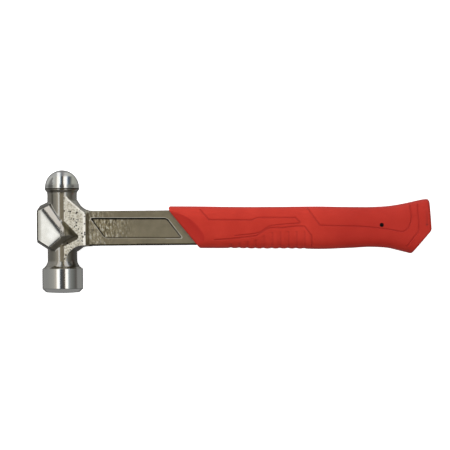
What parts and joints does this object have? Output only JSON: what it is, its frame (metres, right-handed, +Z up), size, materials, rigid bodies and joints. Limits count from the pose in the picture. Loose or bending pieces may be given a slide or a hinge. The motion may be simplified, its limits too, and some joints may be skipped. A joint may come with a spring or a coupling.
{
  "type": "ball peen hammer",
  "caption": "One-piece forged ball peen hammer with an I-section shank, bevelled boss and a moulded two-shot grip with a flared butt.",
  "frame": {"origin": "centre of the hammer's outline, on the surface that it lies on", "axes": "+X along the handle from the head to the butt, +Y from the striking face towards the ball, +Z up, square to the flat side that the hammer lies on"},
  "size_m": [0.3076, 0.0958, 0.0318],
  "materials": {
    "forged_steel": "clear-coated as forged, with the ball, the striking face and the boss ground bright",
    "rigid_core": "matt black, as moulded",
    "soft_grip": "fine matt texture, as moulded"
  },
  "bodies": {
    "root": {"forged_body": "forged_steel", "grip_core": "rigid_core", "grip_sleeve": "soft_grip"}
  },
  "joints": []
}
